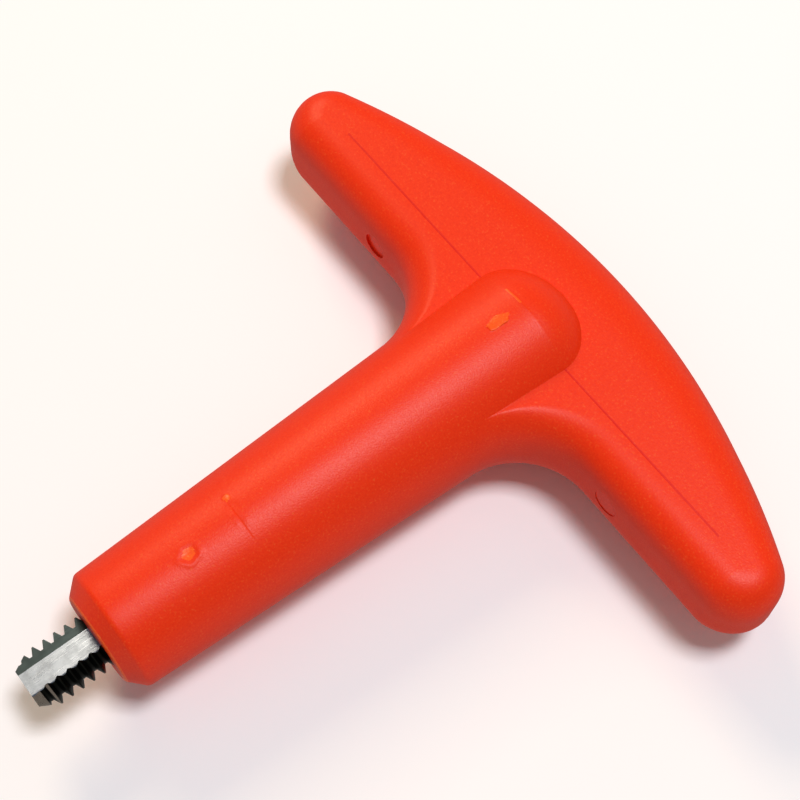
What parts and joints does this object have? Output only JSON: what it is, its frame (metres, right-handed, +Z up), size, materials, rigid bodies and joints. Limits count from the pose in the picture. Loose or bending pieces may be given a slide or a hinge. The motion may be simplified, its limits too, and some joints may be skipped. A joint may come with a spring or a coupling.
{
  "type": "t-handle thread tap",
  "caption": "T-shaped moulded plastic handle with a drafted barrel, rounded wings and a fluted steel thread tap moulded into its nose.",
  "frame": {"origin": "under the middle of the tool's bounding box, on the surface that it lies on", "axes": "+Z up, out of the wings' flat front face; +X along the wings; +Y along the tap's axis, from the tap's tip to the palm"},
  "size_m": [0.079, 0.077, 0.0181],
  "materials": {
    "handle_plastic": "satin orange-red moulded plastic with a fine grain",
    "tap_steel": "ground bright flutes and lead, black oxide on the threaded lands"
  },
  "bodies": {
    "root": {"handle_moulding": "handle_plastic", "tap": "tap_steel"}
  },
  "joints": []
}
